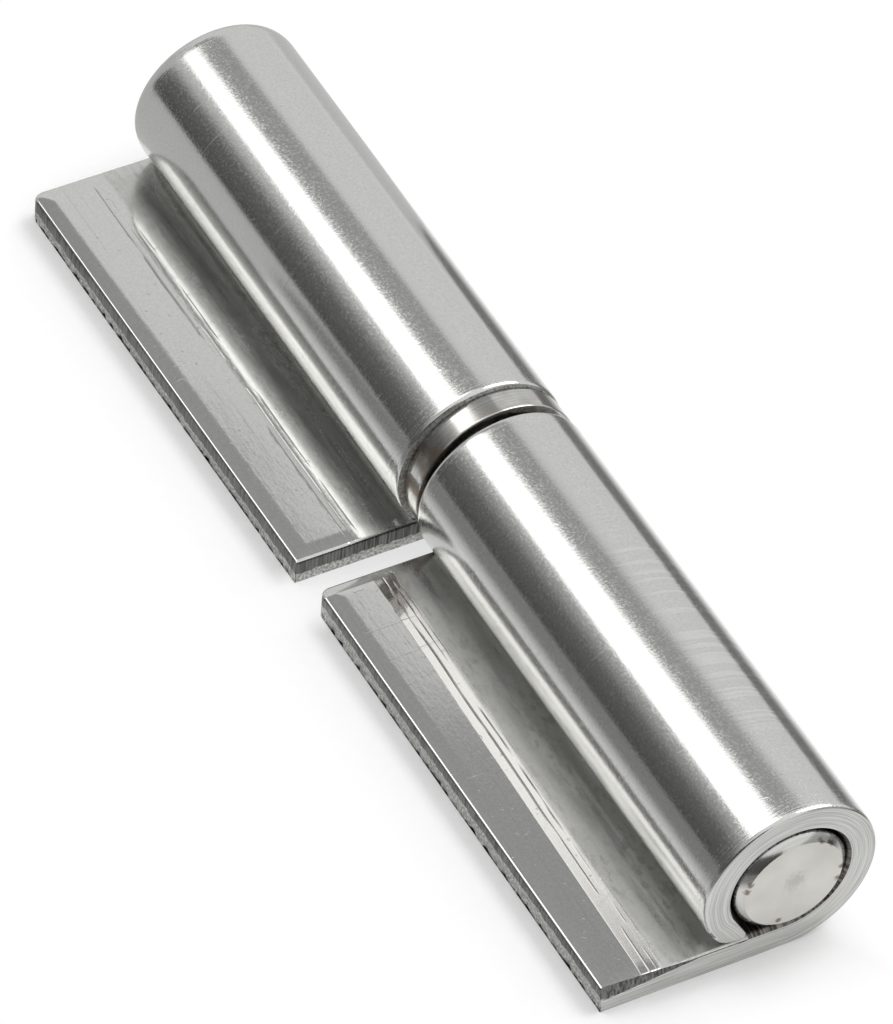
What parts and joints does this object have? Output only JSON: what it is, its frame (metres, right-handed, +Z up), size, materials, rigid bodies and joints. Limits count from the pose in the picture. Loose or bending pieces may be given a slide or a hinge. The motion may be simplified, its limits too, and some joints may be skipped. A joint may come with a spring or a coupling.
{
  "type": "pin hinge",
  "caption": "Weld-on lift-off pin hinge: rolled sheet leaves with flat wings, turning on a plain round pin with a bearing washer between their eyes.",
  "frame": {"origin": "centre of the hinge seen from above, on the surface that the flats lie on", "axes": "+Y along the pin from the fixed end to the lift-off end, +Z up from the flats' undersides, the flats point to -X"},
  "size_m": [0.0294, 0.1208, 0.0187],
  "materials": {
    "leaf_steel": "polished stainless sheet with fine scratches and rough sheared edges",
    "pin_steel": "turned stainless bar with a satin faced end",
    "washer_steel": "turned stainless ring with faint brown stains"
  },
  "bodies": {
    "frame": {"frame_leaf": "leaf_steel", "pin": "pin_steel"},
    "ring": {"washer": "washer_steel"},
    "door": {"door_leaf": "leaf_steel"}
  },
  "joints": [
    {"name": "lift_off", "type": "slide", "parent": "frame", "child": "ring", "axis": [0, 1, 0], "range_m": [-0.00135, 0.052]},
    {"name": "swing", "type": "hinge", "parent": "ring", "child": "door", "pos_m": [0.00532, 0.00245, 0.00935], "axis": [0, 1, 0], "continuous": true}
  ]
}
